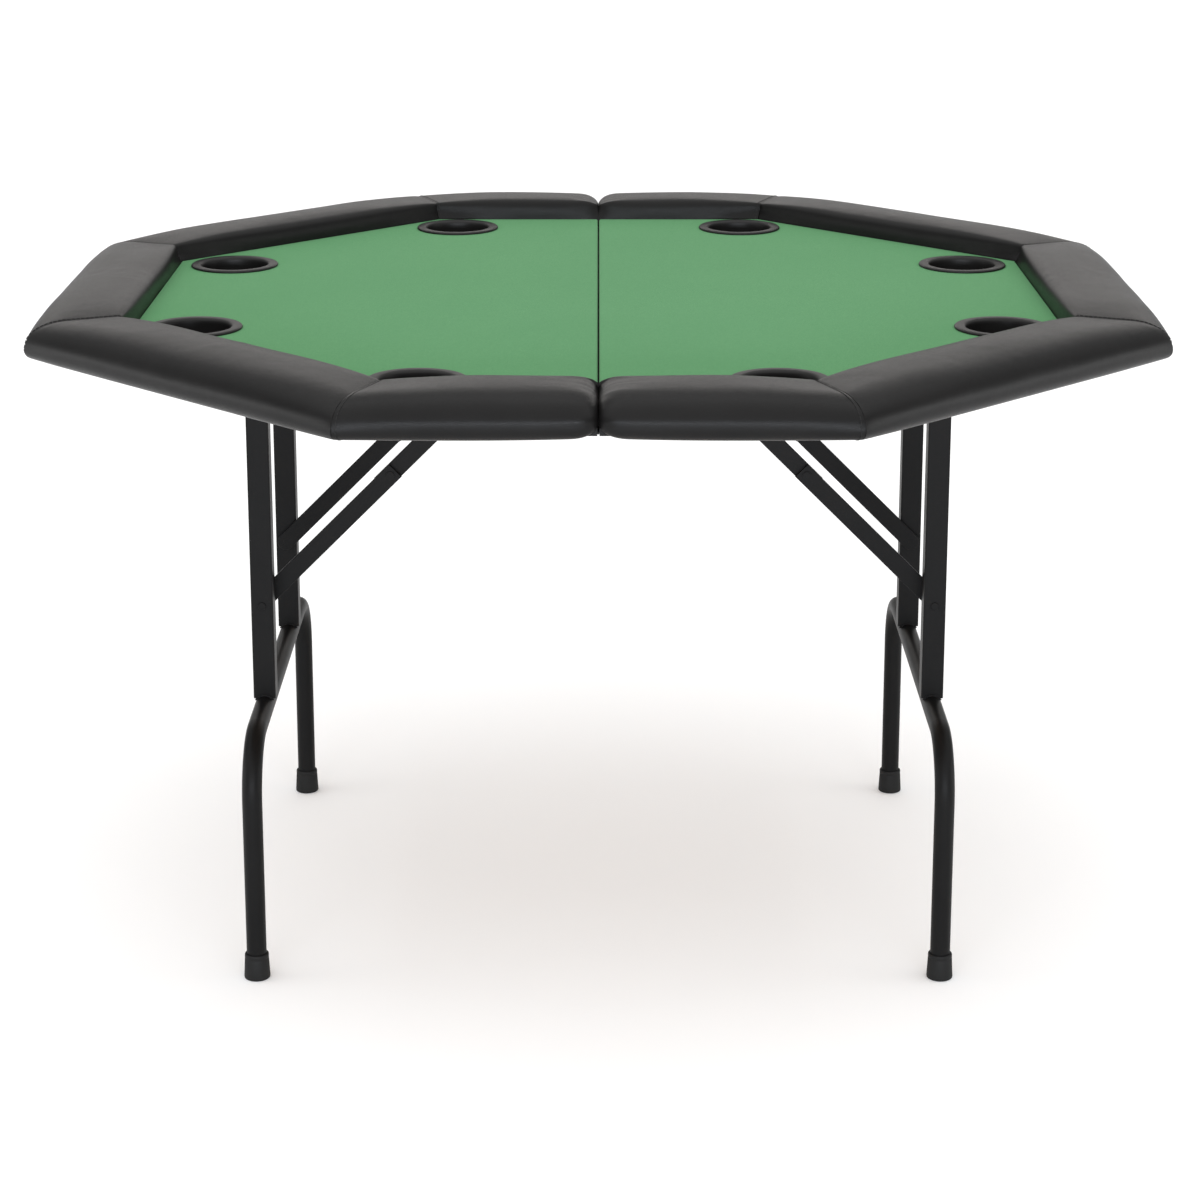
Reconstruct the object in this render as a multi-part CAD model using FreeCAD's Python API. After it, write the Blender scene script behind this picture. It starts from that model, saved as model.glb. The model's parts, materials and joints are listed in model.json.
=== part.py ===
import FreeCAD, Part
import math
import os
from FreeCAD import Vector

# Driving dimensions of the folding octagonal table, in millimetres. +Z is up and the floor is z = 0.
RAIL_APOTHEM = 610.0
PLAY_APOTHEM = 505.0
RAIL_TOP = 738.0
FELT_TOP = 712.0
FELT_THICK = 3.0
BOARD_THICK = 13.0
BOARD_APOTHEM = 598.0
RAIL_BOTTOM = 692.0
SEAM_GAP = 2.0
PAD_SEAM_GAP = 4.0

# Padded rail section.
PAD_WALL = 7.0
PAD_ROOF = 14.0
PAD_LIP = 28.0
INNER_ROUND = 16.0
OUTER_ROUND = 22.0
LOWER_ROUND = 13.0
END_ROUND = 9.5
END_SKIN = 6.0

# Cup holders.
CUP_RING = 474.0
CUP_RIM_R = 52.0
CUP_RIM_THICK = 3.0
CUP_R = 41.0
CUP_TAPER = 3.0
CUP_WALL = 2.0
CUP_DEPTH = 46.0
CUP_CLEAR = 1.0

# Leg frames.
LEG_X = 378.0
LEG_PIVOT_Z = 674.0
POST_SPACING = 266.0
POST_SIZE = 25.0
POST_WALL = 1.5
FOOT_SPACING = 574.0
FOOT_TUBE_R = 11.0
FOOT_TUBE_WALL = 1.5
FOOT_BEND_R = 65.0
CROSSBAR_Z = 268.0
SADDLE_DEPTH = 3.0
CAP_HEIGHT = 29.0
CAP_TOP_R = 13.0
CAP_BOTTOM_R = 14.5
CAP_FLOOR = 5.0
ROD_R = 5.0
RUNNING_CLEAR = 0.06

# Folding braces: both arms are equal, and the knee is halfway between their outer pivots.
BRACE_REACH = 289.0
ARM_WIDTH = 20.0
ARM_THICK = 4.0
ARM_POST_GAP = 2.2
ARM_GAP = 0.8
LOWER_TAIL = 8.5
UPPER_TAIL = 16.0
RIVET_R = 3.0
RIVET_HEAD_R = 4.6
RIVET_HEAD_THICK = 1.2
SPACER_R = 7.0

# Knee lock levers.
LEVER_PIVOT_BACK = 34.0
LEVER_REACH = 46.0
LEVER_WIDTH = 12.0
LEVER_THICK = 3.2
LEVER_GAP = 0.6
LEVER_TAB = 10.0
STUD_R = 3.0

# Brackets and anchors under the boards.
PLATE_THICK = 2.0
LUG_THICK = 3.0
LUG_GAP = 1.0
BRACKET_PLATE_X = 50.0
BRACKET_RIM = 3.0
BRACKET_PLATE_Y = 60.0
ANCHOR_PLATE_X = 40.0
ANCHOR_PLATE_Y = 44.0

# Seam hinges.
HINGE_Y = 420.0
HINGE_DROP = 1.0
HINGE_LENGTH = 90.0
HINGE_KNUCKLES = 5
KNUCKLE_R = 4.0
KNUCKLE_GAP = 0.4
HINGE_PIN_R = 1.8
LEAF_START = 10.0
LEAF_END = 42.0

# Worked out from the above.
FELT_BOTTOM = FELT_TOP - FELT_THICK
BOARD_BOTTOM = FELT_BOTTOM - BOARD_THICK
CORE_TOP = RAIL_TOP - PAD_ROOF
HINGE_Z = RAIL_BOTTOM - HINGE_DROP
CORE_OUTER = BOARD_APOTHEM - 2.0
CORE_INNER = PLAY_APOTHEM + PAD_WALL
POST_Y = POST_SPACING / 2
POST_BOTTOM = CROSSBAR_Z + FOOT_TUBE_R - SADDLE_DEPTH
BRACE_FOOT_Z = LEG_PIVOT_Z - BRACE_REACH
ANCHOR_X = LEG_X - BRACE_REACH
ARM_LENGTH = BRACE_REACH / math.sqrt(2)
LOWER_ARM_Y = POST_Y - POST_SIZE / 2 - ARM_POST_GAP - ARM_THICK
UPPER_ARM_Y = LOWER_ARM_Y - ARM_GAP - ARM_THICK
LEVER_Y = UPPER_ARM_Y - LEVER_GAP - LEVER_THICK
LUG_Y = POST_Y + POST_SIZE / 2 + LUG_GAP
ANCHOR_LUG_Y = UPPER_ARM_Y - LUG_GAP - LUG_THICK
SIDE_NAMES = {-1: "left", 1: "right"}
END_NAMES = {-1: "front", 1: "rear"}


def box(x0, x1, y0, y1, z0, z1):
    return Part.makeBox(x1 - x0, y1 - y0, z1 - z0, Vector(x0, y0, z0))


def rodAlongY(radius, x, z, y0, y1):
    return Part.makeCylinder(radius, y1 - y0, Vector(x, y0, z), Vector(0, 1, 0))


def octagonPlate(apothem, z0, z1):
    """Octagon with flats at the front, back and sides."""
    reach = apothem / math.cos(math.pi / 8)
    angles = [math.radians(22.5 + 45 * k) for k in range(9)]
    corners = [Vector(reach * math.cos(a), reach * math.sin(a), z0) for a in angles]
    return Part.Face(Part.makePolygon(corners)).extrude(Vector(0, 0, z1 - z0))


def leftOf(shape, gap):
    far = RAIL_APOTHEM + 10
    return shape.common(box(-far, -gap / 2, -far, far, 0, RAIL_TOP + 10)).Solids[0]


def mirroredX(shape):
    return shape.mirror(Vector(0, 0, 0), Vector(1, 0, 0))


def forSide(side, leftShape):
    """The left half's shape, or its mirror image for the right half."""
    return leftShape if side < 0 else mirroredX(leftShape)


def forEnd(end, frontShape):
    """The front shape, or its mirror image towards the rear."""
    return frontShape if end < 0 else frontShape.mirror(Vector(0, 0, 0), Vector(0, 1, 0))


def bothEnds(frontShape):
    return Part.makeCompound([frontShape, forEnd(1, frontShape)])


# The board, the felt and the cup holders

def cupCentres():
    """Cup holder centres in the left half, from the front one round to the rear one."""
    centres = {}
    for name, angle in (("front", 247.5), ("front_side", 202.5), ("rear_side", 157.5), ("rear", 112.5)):
        a = math.radians(angle)
        centres[name] = (CUP_RING * math.cos(a), CUP_RING * math.sin(a))
    return centres


def withCupHoles(plate, z0, z1):
    for x, y in cupCentres().values():
        plate = plate.cut(Part.makeCylinder(CUP_R + CUP_CLEAR, z1 - z0 + 2, Vector(x, y, z0 - 1)))
    return plate


def board():
    plate = octagonPlate(BOARD_APOTHEM, BOARD_BOTTOM, FELT_BOTTOM)
    return withCupHoles(leftOf(plate, SEAM_GAP), BOARD_BOTTOM, FELT_BOTTOM)


def felt():
    sheet = octagonPlate(PLAY_APOTHEM - 0.5, FELT_BOTTOM, FELT_TOP)
    return withCupHoles(leftOf(sheet, SEAM_GAP), FELT_BOTTOM, FELT_TOP)


def cup(x, y):
    bottom = FELT_TOP - CUP_DEPTH
    innerTop = CUP_R - CUP_WALL
    innerBottom = innerTop - CUP_TAPER
    profile = [
        (0, bottom),
        (CUP_R - CUP_TAPER, bottom),
        (CUP_R, FELT_TOP),
        (CUP_RIM_R, FELT_TOP),
        (CUP_RIM_R, FELT_TOP + CUP_RIM_THICK - 1.5),
        (CUP_RIM_R - 1.5, FELT_TOP + CUP_RIM_THICK),
        (innerTop, FELT_TOP + CUP_RIM_THICK),
        (innerBottom, bottom + CUP_WALL),
        (0, bottom + CUP_WALL),
        (0, bottom),
    ]
    wire = Part.makePolygon([Vector(r, 0, z) for r, z in profile])
    shape = Part.Face(wire).revolve(Vector(0, 0, 0), Vector(0, 0, 1), 360)
    shape.translate(Vector(x, y, 0))
    return shape


# The padded rail

def cornerArc(centreR, centreZ, radius, fromAngle):
    """Quarter arc in the XZ plane, run clockwise from this angle."""
    points = []
    for turn in (0, 45, 90):
        a = math.radians(fromAngle - turn)
        points.append(Vector(centreR + radius * math.cos(a), 0, centreZ + radius * math.sin(a)))
    return Part.Arc(*points).toShape(), points


def railOutline():
    """Rounded outside of the rail's cushion, in radius and height."""
    corners = [
        cornerArc(PLAY_APOTHEM + INNER_ROUND, RAIL_TOP - INNER_ROUND, INNER_ROUND, 180),
        cornerArc(RAIL_APOTHEM - OUTER_ROUND, RAIL_TOP - OUTER_ROUND, OUTER_ROUND, 90),
        cornerArc(RAIL_APOTHEM - LOWER_ROUND, RAIL_BOTTOM + LOWER_ROUND, LOWER_ROUND, 0),
        cornerArc(PLAY_APOTHEM + LOWER_ROUND, RAIL_BOTTOM + LOWER_ROUND, LOWER_ROUND, 270),
    ]
    edges = []
    for k, (arc, points) in enumerate(corners):
        nextStart = corners[(k + 1) % len(corners)][1][0]
        edges.append(arc)
        edges.append(Part.makeLine(points[2], nextStart))
    return Part.Face(Part.Wire(edges))


def wedge(angle):
    """Everything between the two octagon corners either side of this flat."""
    far = 2 * RAIL_APOTHEM
    rays = [math.radians(angle - 22.5), math.radians(angle + 22.5)]
    points = [Vector(0, 0, 0)] + [Vector(far * math.cos(a), far * math.sin(a), 0) for a in rays]
    return Part.Face(Part.makePolygon(points + points[:1])).extrude(Vector(0, 0, RAIL_TOP + 10))


def railBar(section, angle):
    """The section run along one flat of the octagon and mitred at both ends."""
    bar = section.extrude(Vector(0, 2 * RAIL_APOTHEM, 0))
    bar.translate(Vector(0, -RAIL_APOTHEM, 0))
    bar.rotate(Vector(0, 0, 0), Vector(0, 0, 1), angle)
    return bar.common(wedge(angle)).Solids[0]


def pinchedEnd(bar):
    """The left half of the rail bar, with its seam end rounded over like a cushion."""
    endX = -PAD_SEAM_GAP / 2
    half = leftOf(bar, PAD_SEAM_GAP)
    rounded = [e for e in half.Edges if all(abs(v.X - endX) < 0.01 for v in e.Vertexes)]
    return half.makeFillet(END_ROUND, rounded)


def railCore():
    ring = octagonPlate(CORE_OUTER, FELT_BOTTOM, CORE_TOP)
    ring = ring.cut(octagonPlate(CORE_INNER, FELT_BOTTOM - 1, CORE_TOP + 1))
    return leftOf(ring, PAD_SEAM_GAP + 2 * END_SKIN)


def railPads():
    """The cushions wrap the core and the board's edge, and tuck a lip under the board."""
    outline = railOutline()
    core = railCore()
    edgeSlot = octagonPlate(BOARD_APOTHEM, BOARD_BOTTOM, FELT_BOTTOM)
    underSlot = octagonPlate(BOARD_APOTHEM - PAD_LIP, RAIL_BOTTOM - 1, BOARD_BOTTOM + 1)
    pads = {}
    flats = (("front", 270), ("front_diagonal", 225), ("side", 180), ("rear_diagonal", 135), ("rear", 90))
    for name, angle in flats:
        bar = railBar(outline, angle)
        if name in ("front", "rear"):
            bar = pinchedEnd(bar)
        pads[name] = bar.cut([core, edgeSlot, underSlot]).Solids[0]
    return pads


# Leg frames

def post():
    """Front post of the left leg frame: square tube, closed on top, saddled over the crossbar."""
    half = POST_SIZE / 2
    top = LEG_PIVOT_Z + half
    outer = box(-LEG_X - half, -LEG_X + half, -POST_Y - half, -POST_Y + half, POST_BOTTOM, top)
    inner = half - POST_WALL
    bore = box(-LEG_X - inner, -LEG_X + inner, -POST_Y - inner, -POST_Y + inner, POST_BOTTOM - 1, top - 2)
    upright = outer.makeFillet(2.0, [e for e in outer.Edges if abs(e.Vertexes[0].Z - e.Vertexes[1].Z) > 1])
    tube = upright.cut(bore)
    tube = tube.cut(rodAlongY(ROD_R, -LEG_X, LEG_PIVOT_Z, -POST_Y - half - 1, -POST_Y + half + 1))
    tube = tube.cut(rodAlongY(RIVET_R, -LEG_X, BRACE_FOOT_Z, -POST_Y - half - 1, -POST_Y + half + 1))
    return tube.cut(rodAlongY(FOOT_TUBE_R, -LEG_X, CROSSBAR_Z, -POST_Y - half - 1, -POST_Y + half + 1))


def pivotRod():
    lugOuter = LUG_Y + LUG_THICK
    headStart = lugOuter + 0.5
    rod = rodAlongY(ROD_R, -LEG_X, LEG_PIVOT_Z, -headStart - 2, headStart + 2)
    for y in (-headStart - 2, headStart):
        rod = rod.fuse(rodAlongY(ROD_R + 2, -LEG_X, LEG_PIVOT_Z, y, y + 2))
    return rod.removeSplitter()


def footPath():
    """Centre line of the inverted U, from the front foot to the rear one."""
    y = FOOT_SPACING / 2
    r = FOOT_BEND_R
    s = r * (1 - math.sqrt(0.5))
    low = CROSSBAR_Z - r
    x = -LEG_X
    edges = [
        Part.makeLine(Vector(x, -y, CAP_FLOOR), Vector(x, -y, low)),
        Part.Arc(Vector(x, -y, low), Vector(x, -y + s, CROSSBAR_Z - s), Vector(x, -y + r, CROSSBAR_Z)).toShape(),
        Part.makeLine(Vector(x, -y + r, CROSSBAR_Z), Vector(x, y - r, CROSSBAR_Z)),
        Part.Arc(Vector(x, y - r, CROSSBAR_Z), Vector(x, y - s, CROSSBAR_Z - s), Vector(x, y, low)).toShape(),
        Part.makeLine(Vector(x, y, low), Vector(x, y, CAP_FLOOR)),
    ]
    return Part.Wire(edges)


def pipeAlong(path, radius):
    start = path.Edges[0].Vertexes[0].Point
    circle = Part.Wire(Part.makeCircle(radius, start, Vector(0, 0, 1)))
    return path.makePipeShell([circle], True, True)


def footFrame():
    path = footPath()
    return pipeAlong(path, FOOT_TUBE_R).cut(pipeAlong(path, FOOT_TUBE_R - FOOT_TUBE_WALL))


def footCap():
    y = -FOOT_SPACING / 2
    cone = Part.makeCone(CAP_BOTTOM_R, CAP_TOP_R, CAP_HEIGHT, Vector(-LEG_X, y, 0))
    cone = cone.makeFillet(1.0, [e for e in cone.Edges if e.Closed])
    return cone.cut(Part.makeCylinder(FOOT_TUBE_R, CAP_HEIGHT, Vector(-LEG_X, y, CAP_FLOOR)))


def legRivet():
    """Front rivet that carries the lower arm, with a spacer between the post and the arm."""
    postOuter = -POST_Y - POST_SIZE / 2
    postInner = -POST_Y + POST_SIZE / 2
    armInner = -LOWER_ARM_Y
    shank = rodAlongY(RIVET_R, -LEG_X, BRACE_FOOT_Z, postOuter - 1, armInner)
    head = rodAlongY(RIVET_HEAD_R, -LEG_X, BRACE_FOOT_Z, postOuter - RIVET_HEAD_THICK, postOuter)
    head = head.makeFillet(0.9, [e for e in head.Edges if e.Closed and e.CenterOfMass.y < postOuter - 1])
    spacer = rodAlongY(SPACER_R, -LEG_X, BRACE_FOOT_Z, postInner, postInner + ARM_POST_GAP - 0.3)
    return shank.fuse([head, spacer]).removeSplitter()


# Folding braces

def barAlong(x0, z0, angle, length, width, y0, y1):
    """Flat bar from a round end at (x0, z0) to a square end, at this angle above +X."""
    half = width / 2
    bar = box(0, length, y0, y1, -half, half)
    bar = bar.fuse(rodAlongY(half, 0, 0, y0, y1)).removeSplitter()
    bar.rotate(Vector(0, 0, 0), Vector(0, 1, 0), -angle)
    bar.translate(Vector(x0, 0, z0))
    return bar


def softened(bar, amount):
    flatEdges = [e for e in bar.Edges if all(abs(v.Y - e.Vertexes[0].Y) < 0.01 for v in e.Vertexes)]
    return bar.makeFillet(amount, flatEdges)


def lowerArm():
    """Front lower arm of the left brace, from the post's rivet up to the knee."""
    y0, y1 = -LOWER_ARM_Y - ARM_THICK, -LOWER_ARM_Y
    arm = barAlong(-LEG_X, BRACE_FOOT_Z, 45, ARM_LENGTH + LOWER_TAIL, ARM_WIDTH, y0, y1)
    arm = softened(arm, 0.8)
    arm = arm.cut(rodAlongY(RIVET_R + RUNNING_CLEAR, -LEG_X, BRACE_FOOT_Z, y0 - 1, y1 + 1))
    kneeX = (-LEG_X - ANCHOR_X) / 2
    kneeZ = (BRACE_FOOT_Z + LEG_PIVOT_Z) / 2
    kneeHead = rodAlongY(RIVET_R + 2, kneeX, kneeZ, y0 - 1.4, y0 + 1)
    return arm.fuse(kneeHead).removeSplitter()


def leverStud(y0, y1):
    along = ARM_LENGTH - LEVER_PIVOT_BACK
    offset = along * math.sqrt(0.5)
    return rodAlongY(STUD_R, -ANCHOR_X - offset, LEG_PIVOT_Z - offset, y0, y1)


def upperArm():
    """Front upper arm of the left brace, from the anchor's pin down to the knee."""
    y0, y1 = -UPPER_ARM_Y - ARM_THICK, -UPPER_ARM_Y
    arm = barAlong(-ANCHOR_X, LEG_PIVOT_Z, 225, ARM_LENGTH + UPPER_TAIL, ARM_WIDTH, y0, y1)
    arm = softened(arm, 0.8)
    arm = arm.cut(rodAlongY(RIVET_R + RUNNING_CLEAR, -ANCHOR_X, LEG_PIVOT_Z, y0 - 1, y1 + 1))
    return arm.fuse(leverStud(y1 - 1, -LEVER_Y)).removeSplitter()


def lockLever():
    """Front lock lever of the left brace: flat lever on the upper arm with a thumb tab past the knee."""
    y0, y1 = -LEVER_Y - LEVER_THICK, -LEVER_Y
    along = ARM_LENGTH - LEVER_PIVOT_BACK
    offset = along * math.sqrt(0.5)
    x, z = -ANCHOR_X - offset, LEG_PIVOT_Z - offset
    lever = barAlong(x, z, 225, LEVER_REACH, LEVER_WIDTH, y0, y1)
    tab = box(LEVER_REACH - 3, LEVER_REACH, y0, y1 + LEVER_TAB, -LEVER_WIDTH / 2, LEVER_WIDTH / 2)
    tab.rotate(Vector(0, 0, 0), Vector(0, 1, 0), -225)
    tab.translate(Vector(x, 0, z))
    lever = lever.fuse(tab).removeSplitter()
    return lever.cut(rodAlongY(STUD_R + RUNNING_CLEAR, x, z, y0 - 1, y1 + 1))


# Brackets, anchors and hinges

def lugPlate(x, plateX, plateY0, plateY1, lugY0, lugY1, holeR):
    """A small base plate under the board with one rounded lug down to the pivot height."""
    lugR = 14.0
    plate = box(x - plateX / 2, x + plateX / 2, plateY0, plateY1, BOARD_BOTTOM - PLATE_THICK, BOARD_BOTTOM)
    corners = [e for e in plate.Edges if abs(e.Vertexes[0].Z - e.Vertexes[1].Z) > 1]
    plate = plate.makeFillet(2.5, corners)
    lug = box(x - lugR, x + lugR, lugY0, lugY1, LEG_PIVOT_Z, BOARD_BOTTOM - PLATE_THICK)
    lug = lug.fuse(rodAlongY(lugR, x, LEG_PIVOT_Z, lugY0, lugY1))
    shape = plate.fuse(lug).removeSplitter()
    if holeR:
        shape = shape.cut(rodAlongY(holeR, x, LEG_PIVOT_Z, lugY0 - 1, lugY1 + 1))
    return shape


def legBracket():
    """Front leg bracket: its plate reaches inwards from the lug, clear of the side cup holder."""
    lugOuter = -LUG_Y - LUG_THICK
    plateOuter = lugOuter - BRACKET_RIM
    holeR = ROD_R + RUNNING_CLEAR
    return lugPlate(-LEG_X, BRACKET_PLATE_X, plateOuter, plateOuter + BRACKET_PLATE_Y, lugOuter, -LUG_Y, holeR)


def braceAnchor():
    outer, inner = -ANCHOR_LUG_Y - LUG_THICK, -ANCHOR_LUG_Y
    half = ANCHOR_PLATE_Y / 2
    shape = lugPlate(-ANCHOR_X, ANCHOR_PLATE_X, outer - half, inner + half, outer, inner, 0)
    pin = rodAlongY(RIVET_R, -ANCHOR_X, LEG_PIVOT_Z, -UPPER_ARM_Y - ARM_THICK, inner - 1)
    head = rodAlongY(SPACER_R, -ANCHOR_X, LEG_PIVOT_Z, inner, inner + RIVET_HEAD_THICK)
    return shape.fuse([pin, head]).removeSplitter()


def hingeLeaf(side):
    """Front seam hinge leaf. The left leaf has the odd knuckles and holds the pin."""
    pitch = HINGE_LENGTH / HINGE_KNUCKLES
    y0 = -HINGE_Y - HINGE_LENGTH / 2
    plateBottom = BOARD_BOTTOM - PLATE_THICK
    low, high = sorted((side * LEAF_START, side * LEAF_END))
    plate = box(low, high, y0, y0 + HINGE_LENGTH, plateBottom, BOARD_BOTTOM)
    holeR = HINGE_PIN_R if side < 0 else HINGE_PIN_R + RUNNING_CLEAR
    for k in range(HINGE_KNUCKLES):
        ownedByLeft = k % 2 == 0
        if ownedByLeft != (side < 0):
            continue
        a = y0 + k * pitch + KNUCKLE_GAP / 2
        b = y0 + (k + 1) * pitch - KNUCKLE_GAP / 2
        knuckle = rodAlongY(KNUCKLE_R, 0, HINGE_Z, a, b)
        web = Part.Face(Part.makePolygon([
            Vector(side * LEAF_START, a, BOARD_BOTTOM),
            Vector(side * (LEAF_START + 3), a, plateBottom),
            Vector(side * 3.0, a, HINGE_Z),
            Vector(side * 1.0, a, HINGE_Z + 3.0),
            Vector(side * LEAF_START, a, BOARD_BOTTOM),
        ])).extrude(Vector(0, b - a, 0))
        plate = plate.fuse([knuckle, web])
    plate = plate.removeSplitter()
    return plate.cut(rodAlongY(holeR, 0, HINGE_Z, y0 - 1, y0 + HINGE_LENGTH + 1))


def hingePin():
    y0 = -HINGE_Y - HINGE_LENGTH / 2
    return rodAlongY(HINGE_PIN_R, 0, HINGE_Z, y0, y0 + HINGE_LENGTH)


def allNodes():
    nodes = {}
    pads = railPads()
    for side, sideName in SIDE_NAMES.items():
        nodes[f"{sideName}_board"] = forSide(side, board())
        nodes[f"{sideName}_felt"] = forSide(side, felt())
        nodes[f"{sideName}_rail_core"] = forSide(side, railCore())
        for name, pad in pads.items():
            nodes[f"{sideName}_pad_{name}"] = forSide(side, pad)
        for name, (x, y) in cupCentres().items():
            nodes[f"{sideName}_cup_{name}"] = cup(-side * x, y)
        nodes[f"{sideName}_leg_brackets"] = forSide(side, bothEnds(legBracket()))
        nodes[f"{sideName}_brace_anchors"] = forSide(side, bothEnds(braceAnchor()))
        nodes[f"{sideName}_pivot_rod"] = forSide(side, pivotRod())
        nodes[f"{sideName}_foot_frame"] = forSide(side, footFrame())
        nodes[f"{sideName}_leg_rivets"] = forSide(side, bothEnds(legRivet()))
        for end, endName in END_NAMES.items():
            place = f"{sideName}_{endName}"
            nodes[f"{place}_post"] = forSide(side, forEnd(end, post()))
            nodes[f"{place}_foot_cap"] = forSide(side, forEnd(end, footCap()))
            nodes[f"{place}_lower_arm"] = forSide(side, forEnd(end, lowerArm()))
            nodes[f"{place}_upper_arm"] = forSide(side, forEnd(end, upperArm()))
            nodes[f"{place}_lock_lever"] = forSide(side, forEnd(end, lockLever()))
            nodes[f"{place}_hinge_leaf"] = forEnd(end, hingeLeaf(side))
    for end, endName in END_NAMES.items():
        nodes[f"{endName}_hinge_pin"] = forEnd(end, hingePin())
    return nodes


os.makedirs("parts", exist_ok=True)
for nodeName, shape in allNodes().items():
    shape.exportStep(f"parts/{nodeName}.step")
    solids = len(shape.Solids)
    print(nodeName, "solids", solids, "valid", shape.isValid(), "volume cm3", round(shape.Volume / 1000, 2))
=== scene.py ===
import bpy
import bmesh
import json
import math
from mathutils import Matrix, Vector, noise


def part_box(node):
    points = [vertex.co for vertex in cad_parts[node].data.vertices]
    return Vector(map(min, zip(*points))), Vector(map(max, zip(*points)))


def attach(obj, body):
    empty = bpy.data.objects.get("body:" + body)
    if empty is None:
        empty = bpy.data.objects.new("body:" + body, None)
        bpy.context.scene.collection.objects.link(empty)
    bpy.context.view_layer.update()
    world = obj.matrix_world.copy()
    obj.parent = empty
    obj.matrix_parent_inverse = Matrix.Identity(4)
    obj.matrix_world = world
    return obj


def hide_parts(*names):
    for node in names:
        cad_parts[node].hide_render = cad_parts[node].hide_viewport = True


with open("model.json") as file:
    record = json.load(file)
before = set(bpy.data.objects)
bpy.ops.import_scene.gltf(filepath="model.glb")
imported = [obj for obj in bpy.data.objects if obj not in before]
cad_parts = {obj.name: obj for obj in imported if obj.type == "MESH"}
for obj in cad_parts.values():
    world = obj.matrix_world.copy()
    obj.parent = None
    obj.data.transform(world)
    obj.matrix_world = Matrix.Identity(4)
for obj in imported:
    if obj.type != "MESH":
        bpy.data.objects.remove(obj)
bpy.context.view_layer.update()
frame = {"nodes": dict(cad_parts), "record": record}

print("frame loaded:", len(frame["nodes"]), "nodes")

cornerTan = math.tan(math.pi / 8)
sides = {"left": -1, "right": 1}
ends = {"front": -1, "rear": 1}


# selecting and finishing

def pickOnly(*objects):
    if bpy.context.object and bpy.context.object.mode != "OBJECT":
        bpy.ops.object.mode_set(mode="OBJECT")
    bpy.ops.object.select_all(action="DESELECT")
    for thing in objects:
        thing.select_set(True)
    bpy.context.view_layer.objects.active = objects[0] if objects else None


def editAll(thing):
    pickOnly(thing)
    bpy.ops.object.mode_set(mode="EDIT")
    bpy.ops.mesh.select_mode(type="FACE")
    bpy.ops.mesh.select_all(action="SELECT")


def editNothing(thing):
    editAll(thing)
    bpy.ops.mesh.select_all(action="DESELECT")


def pickFaces(thing, test):
    mesh = bmesh.from_edit_mesh(thing.data)
    for face in mesh.faces:
        if test(face):
            face.select_set(True)
    bmesh.update_edit_mesh(thing.data)


def pickEdges(thing, test):
    mesh = bmesh.from_edit_mesh(thing.data)
    for edge in mesh.edges:
        if all(test(v) for v in edge.verts):
            edge.select_set(True)
    bmesh.update_edit_mesh(thing.data)


def applied(thing, kind, **settings):
    pickOnly(thing)
    modifier = thing.modifiers.new(kind.lower(), kind)
    for key, value in settings.items():
        setattr(modifier, key, value)
    bpy.ops.object.modifier_apply(modifier=modifier.name)
    return thing


def settled(thing, name):
    pickOnly(thing)
    bpy.ops.object.transform_apply(location=True, rotation=True, scale=True)
    thing.name = name
    thing.data.name = name
    return thing


def smoothed(thing, angle=35):
    pickOnly(thing)
    bpy.ops.object.shade_smooth_by_angle(angle=math.radians(angle))
    return thing


def copied(thing, name, matrix):
    mesh = thing.data.copy()
    mesh.transform(matrix)
    if matrix.to_3x3().determinant() < 0:
        mesh.flip_normals()
    twin = bpy.data.objects.new(name, mesh)
    mesh.name = name
    bpy.context.scene.collection.objects.link(twin)
    return twin


def joined(name, pieces):
    pickOnly(*pieces)
    bpy.ops.object.join()
    whole = bpy.context.object
    whole.name = name
    whole.data.name = name
    return whole


def dressed(thing, finish, body, slot, *nodes):
    thing.data.materials.clear()
    thing.data.materials.append(finish)
    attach(thing, body)
    if nodes:
        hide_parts(*nodes)
    return thing


def dropped(*things):
    for thing in things:
        bpy.data.objects.remove(thing)


# shader maths

class Wire:
    def __init__(self, tree, socket):
        self.tree = tree
        self.socket = socket

    def maths(self, operation, left, right):
        node = self.tree.nodes.new("ShaderNodeMath")
        node.operation = operation
        for place, value in enumerate((left, right)):
            if isinstance(value, Wire):
                self.tree.links.new(value.socket, node.inputs[place])
            else:
                node.inputs[place].default_value = value
        return Wire(self.tree, node.outputs[0])

    def __add__(self, other):
        return self.maths("ADD", self, other)

    def __sub__(self, other):
        return self.maths("SUBTRACT", self, other)

    def __mul__(self, other):
        return self.maths("MULTIPLY", self, other)

    def __rsub__(self, other):
        return self.maths("SUBTRACT", other, self)

    __radd__ = __add__
    __rmul__ = __mul__


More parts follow.
